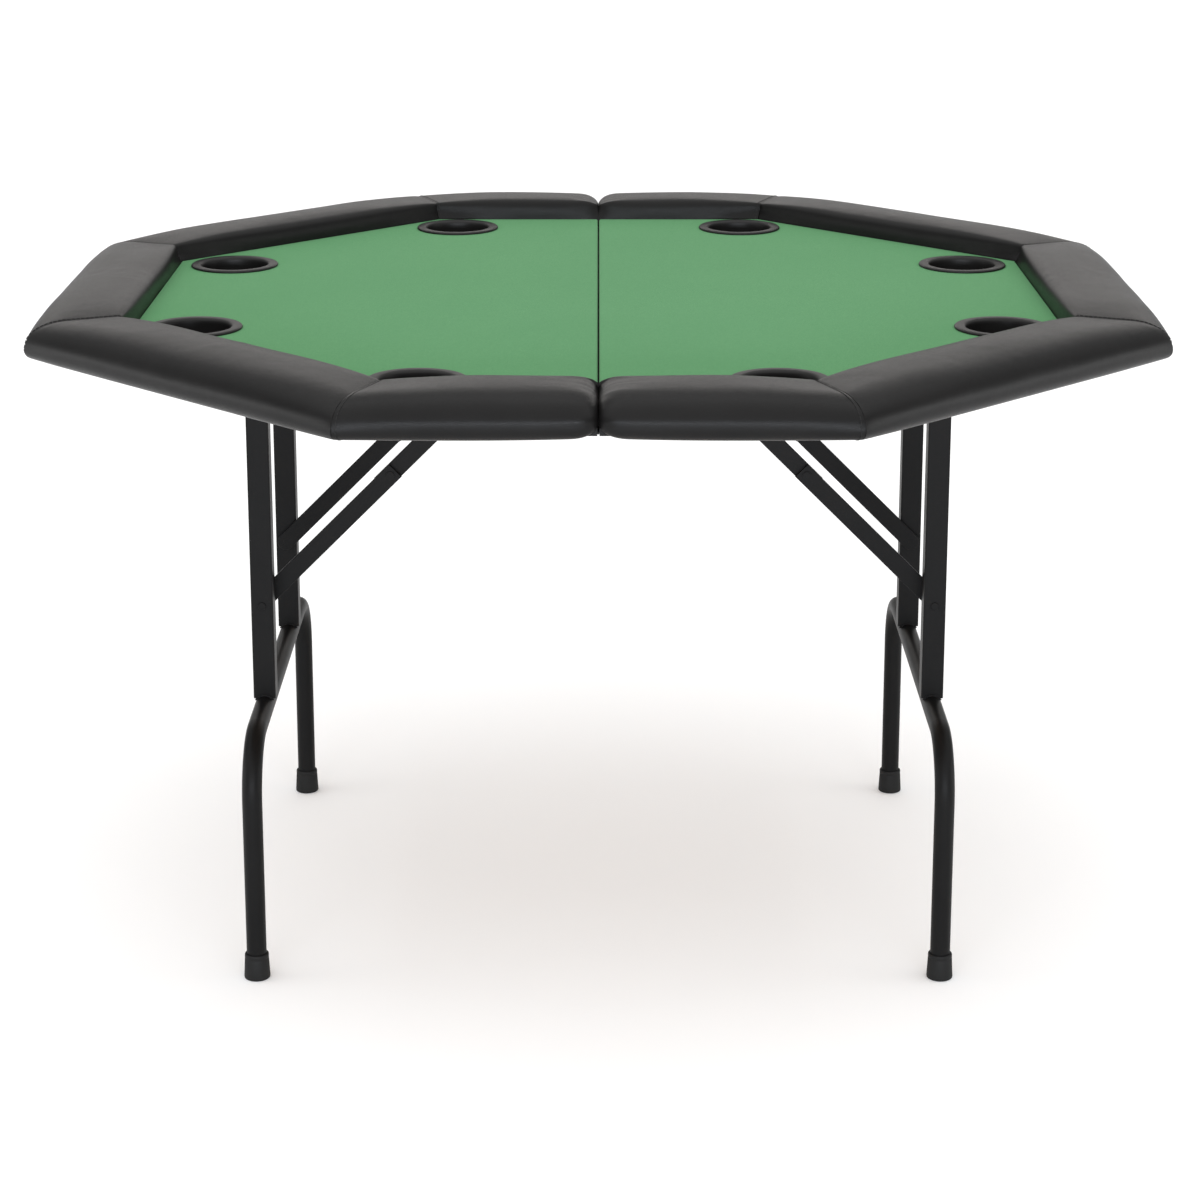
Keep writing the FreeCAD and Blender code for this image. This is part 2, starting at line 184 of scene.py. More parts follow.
class Finish:
    def __init__(self, name, **constants):
        self.material = bpy.data.materials.new(name)
        self.material.use_nodes = True
        self.tree = self.material.node_tree
        self.shader = self.tree.nodes["Principled BSDF"]
        for key, value in constants.items():
            self.shader.inputs[key.replace("_", " ")].default_value = value
        self.place = self.node("ShaderNodeTexCoord", {}, {}, "Object")

    def node(self, kind, settings, inputs, output=0):
        node = self.tree.nodes.new(kind)
        for key, value in settings.items():
            setattr(node, key, value)
        for key, value in inputs.items():
            if isinstance(value, Wire):
                self.tree.links.new(value.socket, node.inputs[key])
            elif isinstance(value, tuple) and node.inputs[key].type == "RGBA":
                node.inputs[key].default_value = (*value, 1)
            else:
                node.inputs[key].default_value = value
        return Wire(self.tree, node.outputs[output])

    def grain(self, scale, detail=2.0, rough=0.5, stretch=(1, 1, 1)):
        where = self.node("ShaderNodeMapping", {}, {"Vector": self.place, "Scale": stretch})
        inputs = {"Vector": where, "Scale": scale, "Detail": detail, "Roughness": rough}
        return self.node("ShaderNodeTexNoise", {}, inputs, "Fac")

    def apart(self, axis):
        return self.node("ShaderNodeSeparateXYZ", {}, {"Vector": self.place}, axis)

    def cells(self, scale, feature="F1"):
        inputs = {"Vector": self.place, "Scale": scale}
        return self.node("ShaderNodeTexVoronoi", {"feature": feature}, inputs, "Distance")

    def between(self, factor, low, high):
        inputs = {0: factor, 6: low, 7: high}  # factor, A and B of the colour mix
        return self.node("ShaderNodeMix", {"data_type": "RGBA"}, inputs, 2)

    def ramp(self, factor, low, high):
        inputs = {"Value": factor, "From Min": low, "From Max": high}
        return self.node("ShaderNodeMapRange", {"clamp": True}, inputs, "Result")

    def bump(self, height, distance, strength, **under):
        inputs = {"Height": height, "Distance": distance, "Strength": strength, **under}
        return self.node("ShaderNodeBump", {}, inputs, "Normal")

    def feed(self, **wires):
        for key, wire in wires.items():
            self.tree.links.new(wire.socket, self.shader.inputs[key.replace("_", " ")])
        return self.material


def playingFelt():
    green, pale, deep = (0.110, 0.338, 0.137), (0.165, 0.415, 0.186), (0.055, 0.230, 0.075)
    f = Finish("playingFelt", Roughness=0.95, Sheen_Weight=0.12, Sheen_Roughness=0.6,
               Specular_IOR_Level=0.15)
    clouds = f.grain(3.5, 3.0, 0.6)
    nap = f.grain(90, 4.0, 0.65)
    fibre = f.grain(1400, 3.0, 0.7, (1.0, 0.45, 1.0))
    strand = f.grain(1100, 3.0, 0.7, (0.4, 1.0, 1.0))
    colour = f.between(f.ramp(clouds, 0.3, 0.7) * 0.5, green, pale)
    colour = f.between(f.ramp(nap, 0.35, 0.75) * 0.25, colour, deep)
    colour = f.between(1 - f.ramp(fibre * strand, 0.16, 0.34) * 0.6, colour, deep)
    normal = f.bump(fibre + strand + nap * 0.6, 0.0005, 0.55)
    return f.feed(Base_Color=colour, Normal=normal)


def railLeather():
    black, worn, creaseShade = (0.0040, 0.0037, 0.0036), (0.0076, 0.0070, 0.0068), (0.004, 0.004, 0.004)
    f = Finish("railLeather", Specular_IOR_Level=0.17)
    wide = f.grain(9, 3.0, 0.6)
    crease = f.ramp(f.cells(520, "DISTANCE_TO_EDGE"), 0.02, 0.16)
    pores = f.ramp(f.cells(1150, "DISTANCE_TO_EDGE"), 0.0, 0.2)
    colour = f.between(f.ramp(wide, 0.3, 0.75), black, worn)
    # painted shade: the colour is drawn halfway towards near black in the creases of the grain
    colour = f.between((1 - crease) * 0.5, colour, creaseShade)
    rough = 0.27 + 0.08 * wide + 0.10 * (1 - crease)
    low = f.bump(f.grain(45, 2.0, 0.5), 0.0012, 0.25)
    normal = f.bump(crease + pores * 0.35, 0.00016, 0.28, Normal=low)
    return f.feed(Base_Color=colour, Roughness=rough, Normal=normal)


def powderCoat():
    black, faded, scuffed = (0.0042, 0.0042, 0.0044), (0.0078, 0.0076, 0.0076), (0.022, 0.021, 0.020)
    f = Finish("powderCoat", Specular_IOR_Level=0.12)
    peel = f.grain(650, 2.0, 0.5)
    wide = f.grain(14, 3.0, 0.6)
    scuff = f.ramp(f.grain(60, 6.0, 0.7), 0.66, 0.74)
    colour = f.between(wide, black, faded)
    colour = f.between(scuff * 0.3, colour, scuffed)
    rough = 0.34 + 0.14 * wide + 0.06 * peel
    return f.feed(Base_Color=colour, Roughness=rough, Normal=f.bump(peel, 0.00018, 0.5))


def cupPlastic():
    black, faded = (0.0050, 0.0047, 0.0046), (0.0090, 0.0084, 0.0081)
    f = Finish("cupPlastic", Specular_IOR_Level=0.28)
    wide = f.grain(30, 3.0, 0.6)
    mould = f.grain(1500, 2.0, 0.6)
    colour = f.between(wide, black, faded)
    rough = 0.33 + 0.14 * wide + 0.08 * mould
    return f.feed(Base_Color=colour, Roughness=rough, Normal=f.bump(mould, 0.00008, 0.6))


def footRubber():
    black, dusty = (0.007, 0.007, 0.007), (0.026, 0.025, 0.023)
    f = Finish("footRubber", Specular_IOR_Level=0.24)
    dust = f.ramp(f.grain(45, 5.0, 0.65), 0.5, 0.8)
    speck = f.grain(1800, 2.0, 0.6)
    colour = f.between(dust * 0.4, black, dusty)
    normal = f.bump(speck, 0.00012, 0.6)
    return f.feed(Base_Color=colour, Roughness=0.62 + 0.25 * dust, Normal=normal)


# Bare board, with painted shade: coloured black where the seam runs out between the rail ends, for the
# shade in the gap between them.
def fibreboard():
    tan, paleTan, flecked = (0.330, 0.205, 0.112), (0.410, 0.265, 0.152), (0.190, 0.108, 0.055)
    gapShade = {"colour": (0.010, 0.010, 0.010), "fromY": 0.500, "toX": 0.030}
    f = Finish("fibreboard", Specular_IOR_Level=0.3)
    fleck = f.grain(420, 4.0, 0.75, (1.0, 0.3, 1.0))
    wide = f.grain(7, 3.0, 0.6)
    colour = f.between(wide, tan, paleTan)
    colour = f.between(f.ramp(fleck, 0.55, 0.72) * 0.6, colour, flecked)
    fromSeam = f.node("ShaderNodeMath", {"operation": "ABSOLUTE"}, {0: f.apart(0)})
    fromMiddle = f.node("ShaderNodeMath", {"operation": "ABSOLUTE"}, {0: f.apart(1)})
    # painted shade: black on the board in the seam gap between the rail ends
    beyond = f.ramp(fromMiddle, gapShade["fromY"], gapShade["fromY"] + 0.002)
    shadedGap = beyond * (1 - f.ramp(fromSeam, gapShade["toX"], gapShade["toX"] + 0.001))
    colour = f.between(shadedGap, colour, gapShade["colour"])
    normal = f.bump(fleck, 0.00025, 0.4)
    return f.feed(Base_Color=colour, Roughness=0.70 + 0.15 * wide, Normal=normal)


def zincSteel():
    dull, bright = (0.50, 0.50, 0.49), (0.66, 0.66, 0.64)
    f = Finish("zincSteel", Metallic=1.0)
    patch = f.ramp(f.cells(260), 0.1, 0.9)
    brush = f.grain(300, 3.0, 0.6, (1.0, 0.08, 1.0))
    colour = f.between(patch, dull, bright)
    normal = f.bump(brush, 0.00006, 0.5)
    return f.feed(Base_Color=colour, Roughness=0.28 + 0.2 * brush, Normal=normal)


def seamThread():
    black, rubbed = (0.006, 0.006, 0.006), (0.022, 0.021, 0.020)
    f = Finish("seamThread", Specular_IOR_Level=0.3)
    twist = f.grain(2600, 2.0, 0.5, (1.0, 1.0, 0.5))
    colour = f.between(twist, black, rubbed)
    normal = f.bump(twist, 0.0001, 0.8)
    return f.feed(Base_Color=colour, Roughness=0.6 + 0.2 * twist, Normal=normal)


finishes = {
    "felt": playingFelt(),
    "rail_cover": railLeather(),
    "black_steel": powderCoat(),
    "cup_plastic": cupPlastic(),
    "foot_rubber": footRubber(),
    "board": fibreboard(),
    "hinge_steel": zincSteel(),
    "thread": seamThread(),
}
for part in frame["record"]["subparts"]:
    node = frame["nodes"][part["node"]]
    node.data.materials.clear()
    node.data.materials.append(finishes[part["material_slot"]])
print("finishes made")


# the padded rail

sideLow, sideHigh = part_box("left_pad_side")
boardLow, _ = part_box("left_board")
feltLow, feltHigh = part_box("left_felt")
rail = {
    "inner": -sideHigh.x,
    "outer": -sideLow.x,
    "top": sideHigh.z,
    "bottom": sideLow.z,
    "boardEdge": -boardLow.x,
    "seam": -0.0004,  # where a pad ends at the folding seam
    "innerRound": 0.009,
    "crownReach": 0.047,
    "bulge": 0.7095,  # height of the outermost line
    "lowerRound": 0.0140,
    "lipReach": 0.027,  # how far the cover goes in under the board
    "footGap": 0.0002,
    "startLower": 0.0014,  # the blank before it swells, against the finished pad
    "startInner": 0.0022,
    "startOuter": -0.0032,
    "edgeHold": 0.7,  # how firmly the board edge holds the lower face
    "heldIn": 0.010,  # in from the board edge, where the cover is stapled flat
    "lipDraw": 0.34,  # share of an end's inset that the lip and the foot follow
    "lipBlend": 0.02,
    "footDraw": 0.6,
    "footBlend": 0.016,
    "freeRise": 0.006,  # above the bulge, from where the pad is quite free
    "lowShare": 0.15,
    "mitrePull": 0.0006,
    "mitreReach": 0.011,
    "mitreSlope": 0.0046,
    "endDepth": 0.0145,
    "endReach": 0.0230,
    "endCurve": 1.9,
    "endSlope": 0.0022,
    "slopeReach": 0.120,
    "pointSpacing": 0.0046,
    "ringSpacing": 0.0066,
    "fineRings": (0.0, 0.0004, 0.0012, 0.0024, 0.0040, 0.0062, 0.0090, 0.0125, 0.0175, 0.0235),
    "mitreHold": 0.009,
    "endHold": 0.006,
    "pressure": 3.2,
    "frames": 22,
    "swellCap": 0.0055,  # the most that a point may travel
}


def arcPoints(centre, reach, rise, start, finish):
    turn = math.radians(finish - start)
    count = max(3, round(abs(turn) * (reach + rise) / 2 / (rail["pointSpacing"] * 0.8)))
    angles = [math.radians(start) + turn * k / count for k in range(count + 1)]
    x, z = centre
    return [Vector((x + reach * math.cos(a), z + rise * math.sin(a))) for a in angles]


def spaced(a, b):
    count = max(1, round((b - a).length / rail["pointSpacing"]))
    return [a.lerp(b, k / count) for k in range(1, count)]


# The outline runs from the felt up the inner wall, over the crown, round the bulge and in under
# the board. Each point has its place, its inward normal, how firmly the board holds it and how
# far an end draws it in.
def railSection():
    inner, outer = rail["inner"] + rail["startInner"], rail["outer"] - rail["startOuter"]
    top, bottom, bulge = rail["top"] - rail["startLower"], rail["bottom"], rail["bulge"]
    a, c = rail["innerRound"], rail["lowerRound"]
    lip = rail["boardEdge"] - rail["lipReach"]
    crown = outer - rail["crownReach"]
    foot = rail["inner"] + rail["footGap"]
    run = [Vector((foot, feltLow.z)), Vector((rail["inner"] + 2 * rail["footGap"], feltHigh.z + 0.001))]
    for piece in (
        arcPoints((inner + a, top - a), a, a, 180, 90),
        arcPoints((crown, bulge), rail["crownReach"], top - bulge, 90, 0),
        arcPoints((outer - c, bottom + c), c, c, 0, -90),
        [Vector((lip, bottom))],
    ):
        run += spaced(run[-1], piece[0]) + piece
    hold, draw = [], []
    for point in run:
        under = point.y < boardLow.z - 0.002 and point.x < rail["boardEdge"] - rail["heldIn"]
        outside = point.x > rail["boardEdge"] - rail["heldIn"]
        atFoot = point.y < feltHigh.z + 0.002 and point.x < crown
        loose = rail["edgeHold"] * (1 - freedom(point.y)) if outside else 0.0
        hold.append(1.0 if under or atFoot else loose)
        if under:
            draw.append(rail["lipDraw"] * min(1.0, (point.x - lip) / rail["lipBlend"]))
        elif point.x < inner + a:
            rise = (point.y - feltHigh.z) / rail["footBlend"]
            draw.append(rail["footDraw"] * max(0.0, min(1.0, rise)))
        else:
            draw.append(1.0)
    insideBoard = boardLow.z + 0.0005
    run += [Vector((lip, insideBoard)), Vector((foot, insideBoard))]
    inward = []
    for k in range(len(run)):
        along = (run[(k + 1) % len(run)] - run[k - 1]).normalized()
        inward.append(Vector((along.y, -along.x)))
    return run, inward, hold + [1.0, 1.0], draw + [0.0, 0.0]


# From nothing at the lower edge to one above the bulge, where the pad is free of the board.
def freedom(height):
    span = rail["bulge"] + rail["freeRise"] - rail["bottom"]
    t = max(0.0, min(1.0, (height - rail["bottom"]) / span))
    return t * t * (3 - 2 * t)


# Distances from the near end, closer together near both ends.
def ringPlaces(length):
    fine = list(rail["fineRings"])
    middle = length - 2 * fine[-1]
    count = round(middle / rail["ringSpacing"])
    places = fine + [fine[-1] + middle * k / count for k in range(1, count)]
    return places + [length - d for d in reversed(fine)]


def eased(distance, reach):
    return max(0.0, 1 - distance / reach) ** 2


def mitreInset(distance):
    pull = rail["mitrePull"] * eased(distance, rail["mitreReach"])
    return pull + rail["mitreSlope"] * eased(distance, rail["slopeReach"])


def pillowInset(distance):
    t = max(0.0, 1 - distance / rail["endReach"])
    curl = 1 - (1 - t ** rail["endCurve"]) ** (1 / rail["endCurve"])
    return rail["endDepth"] * curl + rail["endSlope"] * eased(distance, rail["slopeReach"])


# A pad before it swells, lying along +Y on the +X side, mitred at its near end or at both.
def railBlank(name, pillow):
    run, inward, hold, draw = railSection()
    middle = (rail["inner"] + rail["outer"]) / 2
    places = ringPlaces((-rail["seam"] if pillow else middle * cornerTan) + middle * cornerTan)
    length = places[-1]
    count = len(run)
    mesh = bmesh.new()
    rings = []
    for place in places:
        ring = []
        for k, point in enumerate(run):
            free = rail["lowShare"] + (1 - rail["lowShare"]) * freedom(point.y)
            free *= min(1.0, draw[k] * 3)
            if pillow:
                farInset = pillowInset(length - place) * draw[k]
            else:
                farInset = free * mitreInset(length - place)
            inset = free * mitreInset(place) + farInset
            r = point.x + inward[k].x * inset
            z = point.y + inward[k].y * inset
            start = -r * cornerTan
            stop = -rail["seam"] if pillow else r * cornerTan
            ring.append(mesh.verts.new((r, start + (stop - start) * place / length, z)))
        rings.append(ring)
    for near, far in zip(rings, rings[1:]):
        for k in range(count):
            m = (k + 1) % count
            mesh.faces.new((near[k], near[m], far[m], far[k]))
    mesh.faces.new(list(reversed(rings[0])))
    mesh.faces.new(rings[-1])
    bmesh.ops.triangulate(mesh, faces=[f for f in mesh.faces if len(f.verts) > 4])
    if mesh.calc_volume(signed=True) < 0:
        bmesh.ops.reverse_faces(mesh, faces=mesh.faces)
    data = bpy.data.meshes.new(name)
    mesh.to_mesh(data)
    mesh.free()
    blank = bpy.data.objects.new(name, data)
    bpy.context.scene.collection.objects.link(blank)
    group = blank.vertex_groups.new(name="held")
    for row, place in enumerate(places):
        toMitre = place if pillow else min(place, length - place)
        toEnd = length - place if pillow else 1.0
        nearEnd = max(1 - toMitre / rail["mitreHold"], 1 - toEnd / rail["endHold"], 0.0)
        for k in range(count):
            group.add([row * count + k], max(hold[k], min(1.0, nearEnd * 1.05)), "REPLACE")
    return blank, len(places)


# The pad under a little pressure, as foam fills its cover, with each point's travel capped.
def swollen(blank):
    before = [v.co.copy() for v in blank.data.vertices]
    pickOnly(blank)
    cloth = blank.modifiers.new("cloth", "CLOTH")
    cloth.settings.quality = 6
    cloth.settings.mass = 0.35
    cloth.settings.tension_stiffness = 18
    cloth.settings.compression_stiffness = 18
    cloth.settings.shear_stiffness = 8
    cloth.settings.bending_stiffness = 2.5
    cloth.settings.use_pressure = True
    cloth.settings.uniform_pressure_force = rail["pressure"]
    cloth.settings.vertex_group_mass = "held"
    cloth.settings.effector_weights.gravity = 0
    cloth.point_cache.frame_start = 1
    cloth.point_cache.frame_end = rail["frames"]
    for number in range(1, rail["frames"] + 1):
        bpy.context.scene.frame_set(number)
    bpy.ops.object.modifier_apply(modifier=cloth.name)
    bpy.context.scene.frame_set(1)
    for vertex, old in zip(blank.data.vertices, before):
        travel = vertex.co - old
        if travel.length > rail["swellCap"]:
            vertex.co = old + travel.normalized() * rail["swellCap"]


crinkle = {"wave": 0.0005, "gather": 0.0006, "gatherFade": 0.020, "pleat": 0.0012, "pleatFade": 0.030}


# Slow waves of the foam, and short gathers that fade away from the mitres and the seam ends.
def puckered(pad, seed):
    mesh = bmesh.new()
    mesh.from_mesh(pad.data)
    mesh.normal_update()
    middle = (rail["inner"] + rail["outer"]) / 2
    shifts = []
    for vertex in mesh.verts:
        r = math.hypot(vertex.co.x, vertex.co.y)
        angle = math.degrees(math.atan2(vertex.co.y, vertex.co.x))
        toMitre = r * math.sin(math.radians(22.5 - abs(angle % 45 - 22.5)))
        flat = abs(vertex.co.y) if abs(vertex.co.y) > abs(vertex.co.x) else 1.0
        wave = noise.noise(vertex.co * 14 + Vector((seed, 0, 0))) * crinkle["wave"]
        gather = math.sin(vertex.co.z * 150 + r * 130 + seed) * noise.noise(vertex.co * 60)
        gather *= crinkle["gather"] * math.exp(-toMitre / crinkle["gatherFade"])
        around = math.atan2(vertex.co.z - rail["bulge"], flat - middle)
        toSeam = abs(vertex.co.x)
        pleat = math.sin(around * 11 + seed) * noise.noise(Vector((around * 3, seed, 0)))
        pleat *= crinkle["pleat"] * math.exp(-toSeam / crinkle["pleatFade"]) * min(1.0, toSeam / 0.006)
        shown = 1.0 if vertex.co.z > rail["bottom"] + 0.002 else 0.0
        shifts.append(vertex.normal * (wave + gather + pleat) * shown)
    for vertex, shift in zip(mesh.verts, shifts):
        vertex.co += shift
    mesh.to_mesh(pad.data)
    mesh.free()


longBlank, longRows = railBlank("longBlank", False)
shortBlank, _ = railBlank("shortBlank", True)
sectionCount = len(railSection()[0])
swollen(longBlank)
swollen(shortBlank)
print("pads swollen")


# The visible skin along one ring, from the felt over to the underside.
def seamPath(blank, row):
    return [blank.data.vertices[row * sectionCount + k].co.copy() for k in range(sectionCount - 2)]


thread = {"length": 0.0034, "pitch": 0.0050, "radius": 0.00040, "row": 4, "lift": 0.35}


def stitchMaster():
    bpy.ops.mesh.primitive_cylinder_add(vertices=8, radius=thread["radius"], depth=thread["length"])
    stitch = bpy.context.object
    editNothing(stitch)
    pickFaces(stitch, lambda face: abs(face.normal.z) > 0.9)
    bpy.ops.mesh.inset(thickness=thread["radius"] * 0.45, use_individual=True)
    bpy.ops.transform.resize(value=(1, 1, 1.14), center_override=(0, 0, 0))
    bpy.ops.object.mode_set(mode="OBJECT")
    smoothed(settled(stitch, "stitch"), 60)
    return stitch


# Places at an even pitch along a broken line, each with its direction.
def walkAlong(points, pitch):
    spots = []
    travelled, target = 0.0, pitch
    for a, b in zip(points, points[1:]):
        step = (b - a).length
        while travelled + step >= target:
            spots.append((a.lerp(b, (target - travelled) / step), (b - a).normalized()))
            target += pitch
        travelled += step
    return spots


def stitched(name, stitch, points, body):
    pieces = []
    for spot, direction in walkAlong(points, thread["pitch"]):
        turn = direction.to_track_quat("Z", "Y").to_matrix().to_4x4()
        lift = outOf(spot) * thread["radius"] * thread["lift"]
        pieces.append(copied(stitch, "stitchCopy", Matrix.Translation(spot + lift) @ turn))
    row = joined(name, pieces)
    return dressed(row, finishes["thread"], body, "rail_cover")


def turnedTo(angle):
    return Matrix.Rotation(math.radians(angle), 4, "Z")


def outOf(spot):
    core = Vector((spot.x, spot.y, 0)).normalized() * (rail["inner"] + rail["outer"]) / 2
    core.z = (rail["top"] + rail["bottom"]) / 2
    return (spot - core).normalized()


stitch = stitchMaster()
across = Matrix.Scale(-1, 4, Vector((1, 0, 0)))
padPlaces = {
    "front_diagonal": (longBlank, turnedTo(225)),
    "side": (longBlank, turnedTo(180)),
    "rear_diagonal": (longBlank, turnedTo(135)),
    "front": (shortBlank, turnedTo(270)),
    "rear": (shortBlank, Matrix.Scale(-1, 4, Vector((0, 1, 0))) @ turnedTo(270)),
}
farRow = longRows - 1 - thread["row"]
stitchRows = {
    "front_mitre": (seamPath(shortBlank, thread["row"]), padPlaces["front"][1]),
    "rear_mitre": (seamPath(shortBlank, thread["row"]), padPlaces["rear"][1]),
    "front_side_mitre": (seamPath(longBlank, thread["row"]), padPlaces["side"][1]),
    "rear_side_mitre": (seamPath(longBlank, farRow), padPlaces["side"][1]),
}
seed = 3.0
for side, sign in sides.items():
    flip = across if sign > 0 else Matrix.Identity(4)
    for place, (blank, matrix) in padPlaces.items():
        pad = copied(blank, f"{side}_rail_{place}", flip @ matrix)
        pad.vertex_groups.clear()
        seed += 7.3
        puckered(pad, seed)
        applied(pad, "SUBSURF", levels=1, render_levels=1)
        smoothed(pad, 180)
        core = [f"{side}_rail_core"] if place == "side" else []
        dressed(pad, finishes["rail_cover"], f"{side}_top", "rail_cover", f"{side}_pad_{place}", *core)
    for place, (points, matrix) in stitchRows.items():
        path = [flip @ matrix @ point for point in points]
        stitched(f"{side}_{place}_stitches", stitch, path, f"{side}_top")
dropped(longBlank, shortBlank, stitch)
print("rail padded and stitched")


# the felt, stretched over each board and wrapped down at the seam

wrap = {
    "gap": 0.0008,  # from the seam to the turned-down strip
    "thick": 0.0005,
    "drop": 0.011,
    "round": 0.0026,
    "cupHole": 0.0420,
    "cupRing": 0.474,
    "cupAngles": (112.5, 157.5, 202.5, 247.5),
}


# The left sheet. The right one is its mirror image.
def feltSheet():
    reach = -feltLow.x / math.cos(math.pi / 8)
    bpy.ops.mesh.primitive_circle_add(
        vertices=8, radius=reach, fill_type="NGON", location=(0, 0, feltLow.z))
    sheet = bpy.context.object
    sheet.rotation_euler.z = math.radians(22.5)
    settled(sheet, "feltSheet")
    seamX = -wrap["gap"]
    editAll(sheet)
    bpy.ops.mesh.bisect(plane_co=(seamX, 0, 0), plane_no=(1, 0, 0), clear_outer=True)
    bpy.ops.mesh.select_all(action="SELECT")
    bpy.ops.mesh.bisect(plane_co=(seamX - wrap["thick"], 0, 0), plane_no=(1, 0, 0))
    bpy.ops.mesh.select_all(action="SELECT")
    thickness = feltHigh.z - feltLow.z
    bpy.ops.mesh.extrude_region_move(TRANSFORM_OT_translate={"value": (0, 0, thickness)})
    bpy.ops.mesh.select_all(action="SELECT")
    bpy.ops.mesh.normals_make_consistent(inside=False)
    bpy.ops.mesh.select_all(action="DESELECT")
    strip = seamX - wrap["thick"] - 0.0001
    pickFaces(sheet, lambda f: f.normal.z < -0.9 and all(v.co.x > strip for v in f.verts))
    bpy.ops.mesh.extrude_region_move(TRANSFORM_OT_translate={"value": (0, 0, -wrap["drop"])})
    bpy.ops.mesh.select_all(action="SELECT")
    bpy.ops.mesh.dissolve_limited(angle_limit=math.radians(1))
    bpy.ops.mesh.select_mode(type="EDGE")
    bpy.ops.mesh.select_all(action="DESELECT")
    near = 0.00001
    pickEdges(sheet, lambda v: v.co.x > seamX - near and v.co.z > feltHigh.z - near)
    bpy.ops.mesh.bevel(offset=wrap["round"], segments=6, affect="EDGES")
    bpy.ops.object.mode_set(mode="OBJECT")
    cutters = []
    for angle in wrap["cupAngles"]:
        a = math.radians(angle)
        place = (wrap["cupRing"] * math.cos(a), wrap["cupRing"] * math.sin(a), feltHigh.z)
        bpy.ops.mesh.primitive_cylinder_add(
            vertices=72, radius=wrap["cupHole"], depth=0.02, location=place)
        cutters.append(settled(bpy.context.object, "cutter"))
    cutter = joined("cutter", cutters)
    applied(sheet, "BOOLEAN", operation="DIFFERENCE", object=cutter, solver="EXACT")
    dropped(cutter)
    return smoothed(sheet, 40)


masterFelt = feltSheet()
for side, sign in sides.items():
    felt = copied(masterFelt, f"{side}_felt_sheet", across if sign > 0 else Matrix.Identity(4))
    dressed(felt, finishes["felt"], f"{side}_top", "felt", f"{side}_felt")
dropped(masterFelt)

# painted shade: a black strip low in the seam, standing in for the shade of the narrow gap between the
# boards; it also keeps light from coming up through it
seamShade = {"width": 0.0018, "middle": -0.00004, "bottom": 0.6972, "top": 0.6998}
shadeHeight = (seamShade["bottom"] + seamShade["top"]) / 2
bpy.ops.mesh.primitive_cube_add(size=1, location=(seamShade["middle"], 0, shadeHeight))
strip = bpy.context.object
strip.scale = (seamShade["width"], 2 * (-boardLow.x - 0.001), seamShade["top"] - seamShade["bottom"])
settled(strip, "seam_shade_strip")
smoothed(applied(strip, "BEVEL", width=0.0004, segments=3, limit_method="NONE"), 60)
dressed(strip, finishes["foot_rubber"], "left_top", "foot_rubber")
print("felt laid")


# cup holders, turned ring by ring

# A closed bowl or knob on the Z axis: a disc at the first ring, drawn through each (radius, height).
def turnedShape(name, outline, segments):
    radius, height = outline[0]
    bpy.ops.mesh.primitive_circle_add(
        vertices=segments, radius=radius, fill_type="NGON", location=(0, 0, height))
    shape = bpy.context.object
    settled(shape, name)
    editAll(shape)
    bpy.ops.mesh.flip_normals()
    bpy.ops.mesh.select_mode(type="EDGE")
    for nextRadius, nextHeight in outline[1:]:
        bpy.ops.mesh.extrude_edges_move(TRANSFORM_OT_translate={"value": (0, 0, nextHeight - height)})
        grow = nextRadius / radius
        bpy.ops.transform.resize(value=(grow, grow, 1), center_override=(0, 0, nextHeight))
        radius, height = nextRadius, nextHeight
    bpy.ops.mesh.edge_face_add()
    bpy.ops.mesh.select_all(action="SELECT")
    bpy.ops.mesh.normals_make_consistent(inside=False)
    bpy.ops.object.mode_set(mode="OBJECT")
    return shape


cupLow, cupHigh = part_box("left_cup_front")
cup = {
    "rim": (cupHigh.x - cupLow.x) / 2,
    "bowl": 0.0410,
    "base": 0.0380,
    "wall": 0.0020,
    "lip": cupHigh.z - feltHigh.z,
    "depth": feltHigh.z - cupLow.z,
}


def cupOutline():
    rim, bowl, base, wall, lip = cup["rim"], cup["bowl"], cup["base"], cup["wall"], cup["lip"]
    low = -cup["depth"]
    inner, insideBase, floorHeight = bowl - wall, base - wall, low + wall
    outside = [(base - 0.003, low), (base - 0.0009, low + 0.0009), (base, low + 0.003),
               (bowl - 0.0002, -0.004), (bowl, -0.0015), (bowl, 0.0)]
    ring = [(rim - 0.0012, 0.0), (rim - 0.0003, 0.0004), (rim, 0.0012),
            (rim - 0.0004, lip - 0.0009), (rim - 0.0012, lip - 0.0003), (rim - 0.0026, lip),
            (inner + 0.0045, lip - 0.0001), (inner + 0.0026, lip - 0.0004),
            (inner + 0.0010, lip - 0.0014), (inner + 0.0002, lip - 0.0032), (inner, lip - 0.006)]
    inside = [(inner - 0.0014, low / 2), (insideBase, floorHeight + 0.005),
              (insideBase - 0.0012, floorHeight + 0.002), (insideBase - 0.0040, floorHeight + 0.0004),
              (insideBase - 0.008, floorHeight)]
    mouldMark = [(0.016, floorHeight), (0.0150, floorHeight + 0.0006),
                 (0.0135, floorHeight + 0.0006), (0.0125, floorHeight)]
    return outside + ring + inside + mouldMark


masterCup = turnedShape("cupMaster", cupOutline(), 96)
smoothed(masterCup, 50)
for side, sign in sides.items():
    for place in ("front", "front_side", "rear_side", "rear"):
        low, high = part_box(f"{side}_cup_{place}")
        spot = Vector(((low.x + high.x) / 2, (low.y + high.y) / 2, feltHigh.z))
        holder = copied(masterCup, f"{side}_{place}_cup_holder", Matrix.Translation(spot))
        dressed(holder, finishes["cup_plastic"], f"{side}_top", "cup_plastic", f"{side}_cup_{place}")
dropped(masterCup)
print("cups set in")


# rubber feet

capLow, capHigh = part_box("left_front_foot_cap")
tubeLow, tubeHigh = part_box("left_foot_frame")
foot = {
    "base": (capHigh.x - capLow.x) / 2,
    "top": 0.0130,
    "tube": (tubeHigh.x - tubeLow.x) / 2,
    "height": capHigh.z,
}


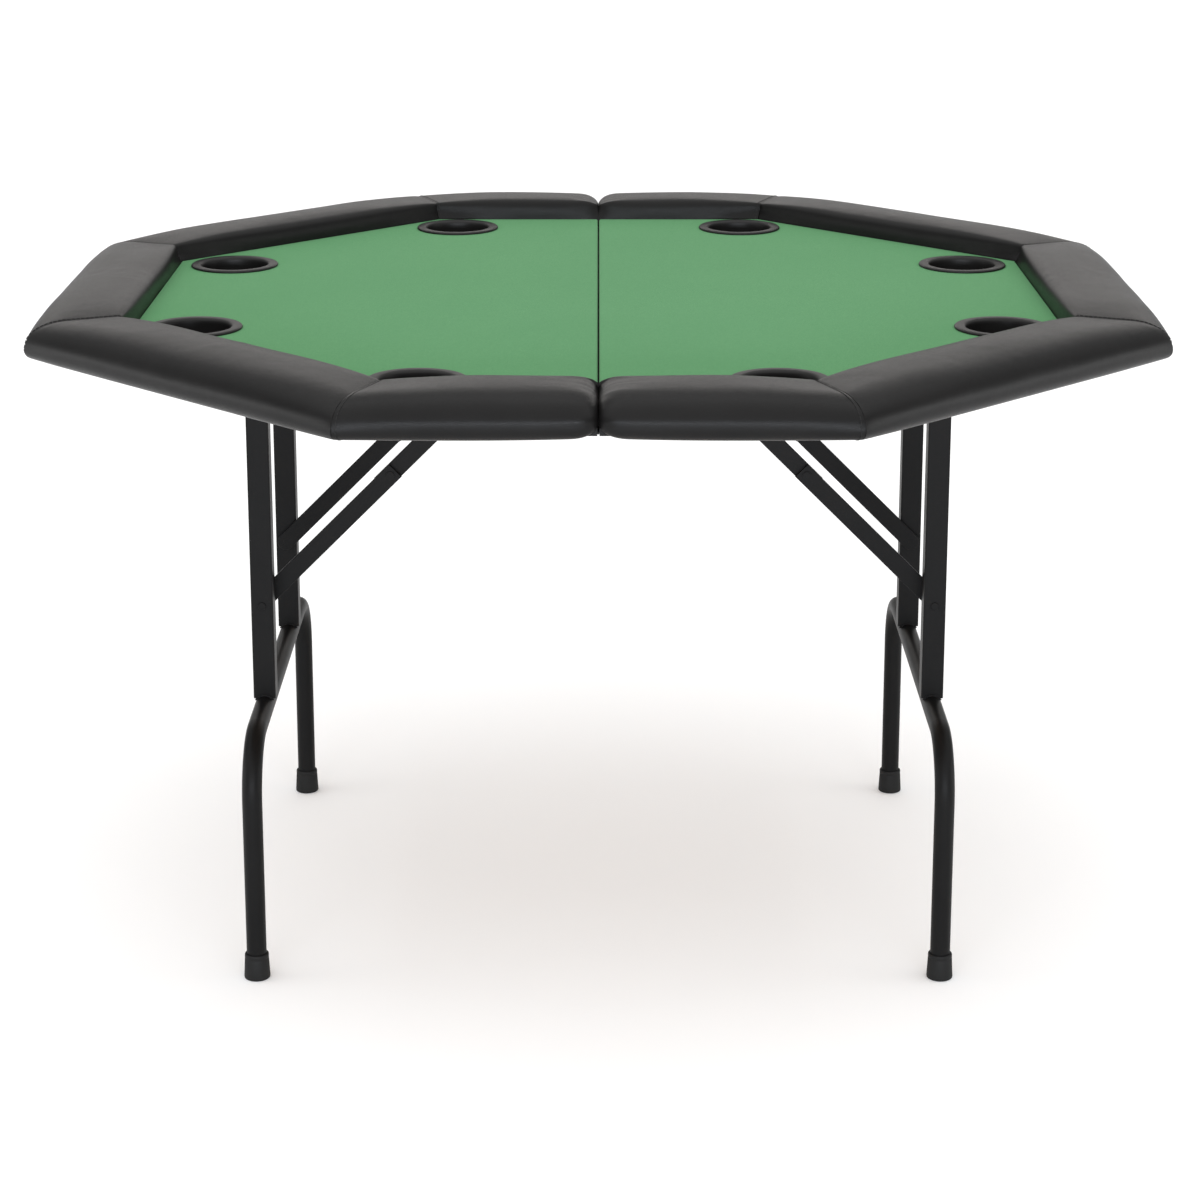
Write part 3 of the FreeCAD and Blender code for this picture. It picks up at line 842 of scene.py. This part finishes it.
def capOutline():
    base, top, tube, height = foot["base"], foot["top"], foot["tube"], foot["height"]
    sole = [(base - 0.0040, 0.0), (base - 0.0010, 0.0), (base - 0.0002, 0.0007), (base, 0.0020)]
    groove = [(top + 0.0003, height - 0.0058), (top - 0.0001, height - 0.0053),
              (top - 0.0001, height - 0.0047), (top + 0.0003, height - 0.0041)]
    mouth = [(top + 0.0002, height - 0.0012), (top - 0.0003, height - 0.0003), (top - 0.0009, height),
             (tube + 0.0004, height - 0.0002), (tube + 0.0001, height - 0.0012)]
    socket = [(tube, height - 0.0040), (tube, 0.0052), (tube - 0.0020, 0.0050)]
    return sole + groove + mouth + socket


masterCap = turnedShape("capMaster", capOutline(), 48)
smoothed(masterCap, 40)
for side in sides:
    for end in ends:
        low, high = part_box(f"{side}_{end}_foot_cap")
        spot = Vector(((low.x + high.x) / 2, (low.y + high.y) / 2, 0))
        cap = copied(masterCap, f"{side}_{end}_rubber_foot", Matrix.Translation(spot))
        dressed(cap, finishes["foot_rubber"], f"{side}_leg", "foot_rubber", f"{side}_{end}_foot_cap")
dropped(masterCap)
print("feet capped")


# weld beads where the posts sit on the crossbars

weld = {"radius": 0.00135, "tall": 0.0062, "ripples": 46, "ripple": 0.00018, "rough": 0.0002}


# A bead over the crossbar, bent to it, in the plane of a post's face.
def weldMaster():
    tube = foot["tube"]
    bpy.ops.mesh.primitive_torus_add(
        major_radius=tube + 0.0003, minor_radius=weld["radius"], major_segments=96, minor_segments=10,
        rotation=(math.pi / 2, 0, 0))
    bead = settled(bpy.context.object, "weldMaster")
    editAll(bead)
    bpy.ops.mesh.bisect(
        plane_co=(0, 0, weld["tall"]), plane_no=(0, 0, 1), clear_inner=True, use_fill=True)
    bpy.ops.object.mode_set(mode="OBJECT")
    for vertex in bead.data.vertices:
        wave = math.sin(math.atan2(vertex.co.x, vertex.co.z) * weld["ripples"])
        bump = weld["ripple"] * wave + weld["rough"] * noise.noise(vertex.co * 400)
        vertex.co += vertex.normal * bump
    return smoothed(bead, 60)


masterBead = weldMaster()
for side in sides:
    for end in ends:
        low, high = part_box(f"{side}_{end}_post")
        barX = (low.x + high.x) / 2
        barZ = tubeHigh.z - foot["tube"]
        spots = [(barX, y, barZ) for y in (low.y, high.y)]
        beads = [copied(masterBead, "bead", Matrix.Translation(spot)) for spot in spots]
        whole = joined(f"{side}_{end}_post_welds", beads)
        dressed(whole, finishes["black_steel"], f"{side}_leg", "black_steel")
dropped(masterBead)


# screws in the brackets, anchors and hinges, and the staples that hold the rail cover

screw = {
    "head": 0.0040,
    "tall": 0.0021,
    "slot": 0.0009,
    "reach": 0.0023,
    "bracketEdge": 0.007,  # in from the side of a leg bracket
    "bracketPlaces": (0.015, 0.053),  # in from its outer end
    "anchorEdge": 0.0065,
    "anchorPlaces": (0.007, 0.040),
    "leafMiddle": 0.034,  # out from the seam
    "leafStagger": 0.007,
    "leafPitch": 0.033,
}


# Pan head, face down, with a cross recess.
def screwMaster():
    r, t = screw["head"], screw["tall"]
    outline = [(r * 0.55, 0.0012), (r * 0.96, 0.0), (r, -t * 0.25), (r * 0.93, -t * 0.6),
               (r * 0.7, -t * 0.9), (r * 0.35, -t)]
    head = turnedShape("screwMaster", outline, 28)
    bars = []
    for turn in (0, 90):
        bpy.ops.mesh.primitive_cube_add(
            size=1, location=(0, 0, -t), rotation=(0, 0, math.radians(turn)))
        bar = bpy.context.object
        bar.scale = (screw["reach"] * 2, screw["slot"], t)
        bars.append(settled(bar, "bar"))
    for bar in bars:
        applied(head, "BOOLEAN", operation="DIFFERENCE", object=bar, solver="EXACT")
    dropped(*bars)
    return smoothed(head, 30)


masterScrew = screwMaster()


def screwed(name, body, spots, turn):
    heads = []
    for k, spot in enumerate(spots):
        twist = Matrix.Rotation(math.radians(37 * k + turn), 4, "Z")
        heads.append(copied(masterScrew, "head", Matrix.Translation(spot) @ twist))
    whole = joined(name, heads)
    return dressed(whole, finishes["hinge_steel"], body, "hinge_steel")


def spotGrid(xs, outer, way, places):
    return [Vector((x, outer - way * d, plateZ)) for x in xs for d in places]


plateZ = boardLow.z - 0.002  # the underside of every fixing plate
for side, sign in sides.items():
    bracketLow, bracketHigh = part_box(f"{side}_leg_brackets")
    anchorLow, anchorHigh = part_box(f"{side}_brace_anchors")
    for end, way in ends.items():
        xs = (bracketLow.x + screw["bracketEdge"], bracketHigh.x - screw["bracketEdge"])
        spots = spotGrid(xs, way * bracketHigh.y, way, screw["bracketPlaces"])
        screwed(f"{side}_{end}_bracket_screws", f"{side}_top", spots, 11)
        xs = (anchorLow.x + screw["anchorEdge"], anchorHigh.x - screw["anchorEdge"])
        spots = spotGrid(xs, way * anchorHigh.y, way, screw["anchorPlaces"])
        screwed(f"{side}_{end}_anchor_screws", f"{side}_top", spots, 63)
        low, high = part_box(f"{side}_{end}_hinge_leaf")
        leafX = sign * screw["leafMiddle"]
        centre = (low.y + high.y) / 2
        spots = []
        for k in range(3):
            x = leafX - sign * (screw["leafStagger"] if k == 1 else 0)
            spots.append(Vector((x, centre + (k - 1) * screw["leafPitch"], plateZ)))
        screwed(f"{side}_{end}_hinge_screws", f"{side}_top", spots, 29)
dropped(masterScrew)

staple = {"length": 0.0105, "wire": 0.0007, "pitch": 0.034, "inset": 0.009, "fromSeam": 0.022}


def stapleMaster():
    bpy.ops.mesh.primitive_cube_add(size=1)
    wire = bpy.context.object
    wire.scale = (staple["wire"], staple["length"], staple["wire"])
    settled(wire, "stapleMaster")
    applied(wire, "BEVEL", width=staple["wire"] * 0.35, segments=3, limit_method="NONE")
    return smoothed(wire, 60)


masterStaple = stapleMaster()
lipRadius = rail["boardEdge"] - rail["lipReach"] + staple["inset"]
flats = {"front_diagonal": 225, "side": 180, "rear_diagonal": 135, "front": 270, "rear": 90}
for side, sign in sides.items():
    flip = across if sign > 0 else Matrix.Identity(4)
    for place, angle in flats.items():
        half = lipRadius * cornerTan - 0.02
        count = round(2 * half / staple["pitch"])
        wires = []
        for k in range(count + 1):
            along = -half + 2 * half * k / count
            spot = turnedTo(angle) @ Vector((lipRadius, along, rail["bottom"] - staple["wire"] * 0.25))
            if spot.x > -staple["fromSeam"]:
                continue
            lean = Matrix.Rotation(math.radians(9 * math.sin(k * 2.7 + angle)), 4, "Z")
            matrix = flip @ Matrix.Translation(spot) @ turnedTo(angle) @ lean
            wires.append(copied(masterStaple, "wire", matrix))
        row = joined(f"{side}_{place}_staples", wires)
        dressed(row, finishes["hinge_steel"], f"{side}_top", "hinge_steel")
dropped(masterStaple)
print("fixings in")


# floor, light and camera

studio = {
    "floorSize": 200,
    "floorDrop": 0.0005,
    "floorPale": 0.90,
    "floorGlow": 0.13,
    "world": 0.42,
    "domePower": 2.2,
    "domeSpread": 110,
    "domeTilt": 12,
}


def paleFloor():
    f = Finish("paleFloor", Roughness=0.75, Specular_IOR_Level=0.2, Emission_Color=(1, 1, 1, 1),
               Emission_Strength=studio["floorGlow"])
    cloud = f.grain(1.5, 2.0, 0.5)
    pale = (studio["floorPale"],) * 3
    return f.feed(Base_Color=f.between(cloud, pale, tuple(c * 0.985 for c in pale)))


bpy.ops.mesh.primitive_plane_add(size=studio["floorSize"], location=(0, 0, -studio["floorDrop"]))
floor = settled(bpy.context.object, "floor")
floor.data.materials.append(paleFloor())

world = bpy.data.worlds.new("studio")
bpy.context.scene.world = world
world.use_nodes = True
world.node_tree.nodes["Background"].inputs["Color"].default_value = (1, 1, 1, 1)
world.node_tree.nodes["Background"].inputs["Strength"].default_value = studio["world"]
bpy.context.scene.view_settings.view_transform = "Standard"

bpy.ops.object.light_add(type="SUN", location=(0, 0, 4))
dome = bpy.context.object
dome.name = "dome"
dome.data.energy = studio["domePower"]
dome.data.angle = math.radians(studio["domeSpread"])
dome.rotation_euler = (math.radians(studio["domeTilt"]), 0, 0)

lamps = {
    "frontStrip": {"spot": (0.0, -4.2, 1.10), "aim": (0, 0, 0.70), "size": (4.4, 0.34),
                   "power": 105, "tint": (0.88, 0.93, 1.0)},
    "backStrip": {"spot": (0.0, 5.0, 2.25), "aim": (0, 0, 0.72), "size": (6.0, 1.2), "power": 27,
                  "tint": (1.0, 0.95, 0.91)},
    "leftLow": {"spot": (-4.0, -0.4, 0.9), "aim": (0, 0, 0.1), "size": (2.0, 1.0), "power": 22},
    "rightLow": {"spot": (4.0, -0.4, 0.9), "aim": (0, 0, 0.1), "size": (2.0, 1.0), "power": 22},
}
for name, lamp in lamps.items():
    bpy.ops.object.light_add(type="AREA", location=lamp["spot"])
    light = bpy.context.object
    light.name = name
    light.data.shape = "RECTANGLE"
    light.data.size, light.data.size_y = lamp["size"]
    light.data.energy = lamp["power"]
    light.data.color = lamp.get("tint", (1, 1, 1))
    towards = Vector(lamp["aim"]) - Vector(lamp["spot"])
    light.rotation_euler = towards.to_track_quat("-Z", "Y").to_euler()
    light.visible_camera = False

view = {
    "distance": 3.291,
    "height": 1.373,
    "down": 0.2476,  # tilt in radians
    "frame": 1200,
    "focal": 2929.7,  # this and the next two in the same units as the frame
    "row": 440,
    "column": 598.4,
    "sensor": 36,
}
bpy.ops.object.camera_add(location=(0, -view["distance"], view["height"]))
camera = bpy.context.object
camera.rotation_euler = (math.pi / 2 - view["down"], 0, 0)
camera.data.sensor_width = view["sensor"]
camera.data.lens = view["focal"] * view["sensor"] / view["frame"]
camera.data.shift_y = (view["row"] - view["frame"] / 2) / view["frame"]
camera.data.shift_x = (view["frame"] / 2 - view["column"]) / view["frame"]
bpy.context.scene.camera = camera
print("studio ready")
